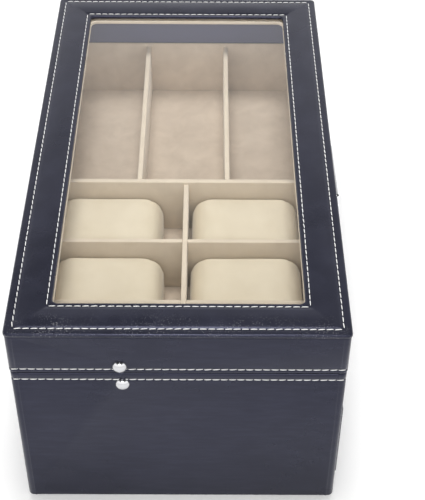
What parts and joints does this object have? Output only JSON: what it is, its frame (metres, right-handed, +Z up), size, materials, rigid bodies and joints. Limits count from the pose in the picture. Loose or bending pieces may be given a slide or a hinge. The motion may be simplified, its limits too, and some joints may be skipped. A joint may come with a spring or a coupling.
{
  "type": "watch box",
  "caption": "Leather-covered watch box with a glazed hinged lid over cushion cells and glasses bays, and a drawer below.",
  "frame": {"origin": "centre of the case's underside, on the surface it stands on", "axes": "+X along the box, away from the lid stay; +Y towards the lid hinges; +Z up"},
  "size_m": [0.3306, 0.1977, 0.139],
  "materials": {
    "mdf": "raw fibreboard",
    "leatherette": "fine grain, soft sheen",
    "lid_lining": "fine grain, matt",
    "velvet": "short cream velvet",
    "cushion_velvet": "short cream velvet",
    "felt": "felt",
    "glass": "clear",
    "chrome": "polished",
    "steel": "bright",
    "screw_steel": "zinc plated"
  },
  "bodies": {
    "case": {"base_felt": "felt", "case_floor": "mdf", "case_left_end": "mdf", "case_right_end": "mdf", "case_back": "mdf", "case_front_rail": "mdf", "case_wrap": "leatherette", "tray_shelf": "mdf", "tray_floor_lining": "velvet", "tray_wall_linings": "velvet", "mid_divider": "velvet", "row_dividers": "velvet", "watch_long_divider": "velvet", "glasses_dividers": "velvet", "drawer_glides": "felt", "hinge_case_leaves": "steel", "hinge_pins": "steel", "hinge_case_screws": "screw_steel", "case_rivet": "chrome", "lock_plate": "chrome", "lock_screws": "screw_steel"},
    "lid": {"lid_left_end": "mdf", "lid_right_end": "mdf", "lid_front_board": "mdf", "lid_back_board": "mdf", "lid_side_wrap": "leatherette", "lid_inner_lining": "lid_lining", "lid_core_frame": "velvet", "glass_pane": "glass", "lid_top_board": "mdf", "lid_top_leather": "leatherette", "hinge_lid_leaves": "steel", "hinge_lid_screws": "screw_steel", "lid_rivet": "chrome", "lid_hasp": "chrome", "hasp_screws": "screw_steel"},
    "drawer": {"drawer_front": "mdf", "drawer_front_leather": "leatherette", "drawer_sides": "mdf", "drawer_back": "mdf", "drawer_bottom": "mdf", "drawer_floor_lining": "velvet", "drawer_wall_linings": "velvet", "drawer_knob": "chrome", "knob_screw": "screw_steel"},
    "lower_arm": {"stay_lower_arm": "steel"},
    "upper_arm": {"stay_upper_arm": "steel", "stay_elbow_rivet": "steel", "stay_end_rivet": "steel"},
    "button": {"lock_button": "chrome"},
    "latch": {"lock_latch": "steel"},
    "key": {"key_cylinder": "chrome"},
    "cushion_1": {"cushion_1": "cushion_velvet"},
    "cushion_2": {"cushion_2": "cushion_velvet"},
    "cushion_3": {"cushion_3": "cushion_velvet"},
    "cushion_4": {"cushion_4": "cushion_velvet"},
    "cushion_5": {"cushion_5": "cushion_velvet"},
    "cushion_6": {"cushion_6": "cushion_velvet"}
  },
  "joints": [
    {"name": "lid_hinge", "type": "hinge", "parent": "case", "child": "lid", "pos_m": [0, 0.0925, 0.1088], "axis": [-1, 0, 0], "range_deg": [0, 95]},
    {"name": "stay_lower", "type": "hinge", "parent": "case", "child": "lower_arm", "pos_m": [-0.1535, 0.03, 0.1005], "axis": [-1, 0, 0], "range_deg": [0, 124.74]},
    {"name": "stay_elbow", "type": "hinge", "parent": "lower_arm", "child": "upper_arm", "pos_m": [-0.153, -0.01936, 0.11109], "axis": [-1, 0, 0], "range_deg": [-163.91, 0]},
    {"name": "drawer_slide", "type": "slide", "parent": "case", "child": "drawer", "axis": [0, -1, 0], "range_m": [0, 0.125]},
    {"name": "button_press", "type": "slide", "parent": "case", "child": "button", "axis": [0, 1, 0], "range_m": [0, 0.0015], "stiffness_N_per_m": 400, "springref_m": -0.001},
    {"name": "latch_draw", "type": "slide", "parent": "case", "child": "latch", "axis": [0, 0, -1], "range_m": [0, 0.002]},
    {"name": "key_turn", "type": "hinge", "parent": "case", "child": "key", "pos_m": [0.012, -0.0966, 0.095], "axis": [0, -1, 0], "range_deg": [0, 90]},
    {"name": "cushion_1_lift", "type": "slide", "parent": "case", "child": "cushion_1", "axis": [0, 0, 1], "range_m": [0, 0.028]},
    {"name": "cushion_2_lift", "type": "slide", "parent": "case", "child": "cushion_2", "axis": [0, 0, 1], "range_m": [0, 0.028]},
    {"name": "cushion_3_lift", "type": "slide", "parent": "case", "child": "cushion_3", "axis": [0, 0, 1], "range_m": [0, 0.028]},
    {"name": "cushion_4_lift", "type": "slide", "parent": "case", "child": "cushion_4", "axis": [0, 0, 1], "range_m": [0, 0.028]},
    {"name": "cushion_5_lift", "type": "slide", "parent": "case", "child": "cushion_5", "axis": [0, 0, 1], "range_m": [0, 0.028]},
    {"name": "cushion_6_lift", "type": "slide", "parent": "case", "child": "cushion_6", "axis": [0, 0, 1], "range_m": [0, 0.028]}
  ],
  "couplings": [
    {"joint": "stay_lower", "follows": "lid_hinge", "ratio": 1.313},
    {"joint": "stay_elbow", "follows": "lid_hinge", "ratio": -1.7253},
    {"joint": "latch_draw", "follows": "button_press", "ratio": 1.3333}
  ]
}
